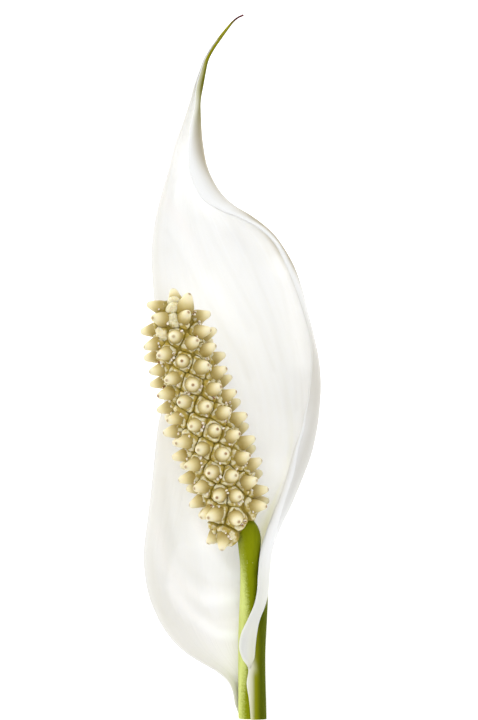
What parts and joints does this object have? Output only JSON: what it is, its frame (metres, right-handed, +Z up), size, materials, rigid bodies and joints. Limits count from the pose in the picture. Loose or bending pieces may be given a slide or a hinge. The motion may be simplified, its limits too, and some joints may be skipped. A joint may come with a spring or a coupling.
{
  "type": "peace lily bloom",
  "caption": "Cut peace lily bloom lying on its back: a white hooded spathe with a curled tip, a cream knobbly spadix and a short green stem.",
  "frame": {"origin": "centre of the bounding box's underside, on the surface that the bloom lies on", "axes": "+Y from the cut end of the stem to the tip of the spathe, +Z up and out of the open face of the spathe, +X across the spathe"},
  "size_m": [0.0362, 0.1417, 0.021],
  "materials": {
    "stem": "satin",
    "spathe": "satin",
    "spadix": "matte"
  },
  "bodies": {
    "root": {"stem": "stem", "spathe": "spathe", "spadix": "spadix"}
  },
  "joints": []
}
